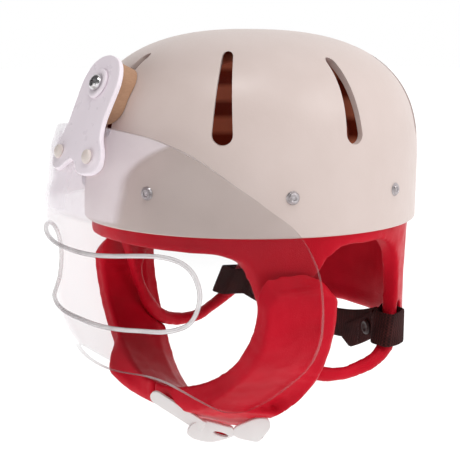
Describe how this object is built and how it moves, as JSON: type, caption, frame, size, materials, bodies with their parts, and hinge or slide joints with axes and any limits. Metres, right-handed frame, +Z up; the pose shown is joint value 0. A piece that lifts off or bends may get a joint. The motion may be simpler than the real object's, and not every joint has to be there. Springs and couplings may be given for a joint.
{
  "type": "protective helmet with faceguard",
  "caption": "Vented hard shell helmet with coated foam lining, padded chin, a clear plastic faceguard hung from a brow bracket and a nape strap.",
  "frame": {"origin": "middle of the lining's inner crown, where the helmet sits on the head", "axes": "+Z up out of the crown, the face looks along -Y, +X is the wearer's left"},
  "size_m": [0.2278, 0.2555, 0.2684],
  "materials": {
    "shell_plastic": "satin cream moulded plastic",
    "rivet_metal": "satin",
    "coated_foam": "closed-cell foam with a glossy red vinyl coat",
    "clear_plastic": "clear, polished",
    "milky_plastic": "milky, slightly see-through",
    "tan_spacer": "matt",
    "bright_screw": "polished",
    "cream_rivet": "satin",
    "webbing": "woven dark webbing",
    "snap_metal": "dark enamel",
    "fastener_plastic": "pale, slightly see-through"
  },
  "bodies": {
    "root": {"shell": "shell_plastic", "shell_rivet_1": "rivet_metal", "shell_rivet_2": "rivet_metal", "shell_rivet_3": "rivet_metal", "shell_rivet_4": "rivet_metal", "shell_rivet_5": "rivet_metal", "shell_rivet_6": "rivet_metal", "shell_rivet_7": "rivet_metal", "shell_rivet_8": "rivet_metal", "liner": "coated_foam", "left_jaw_pad": "coated_foam", "right_jaw_pad": "coated_foam", "faceguard": "clear_plastic", "guard_bracket": "milky_plastic", "bracket_spacer": "tan_spacer", "bracket_washer": "milky_plastic", "bracket_screw": "bright_screw", "bracket_rivet_left": "cream_rivet", "bracket_rivet_right": "cream_rivet", "nape_strap": "webbing", "nape_snap_left": "snap_metal", "nape_snap_right": "snap_metal", "chin_tongue": "fastener_plastic", "chin_buckle": "fastener_plastic", "chin_tab": "fastener_plastic"}
  },
  "joints": []
}
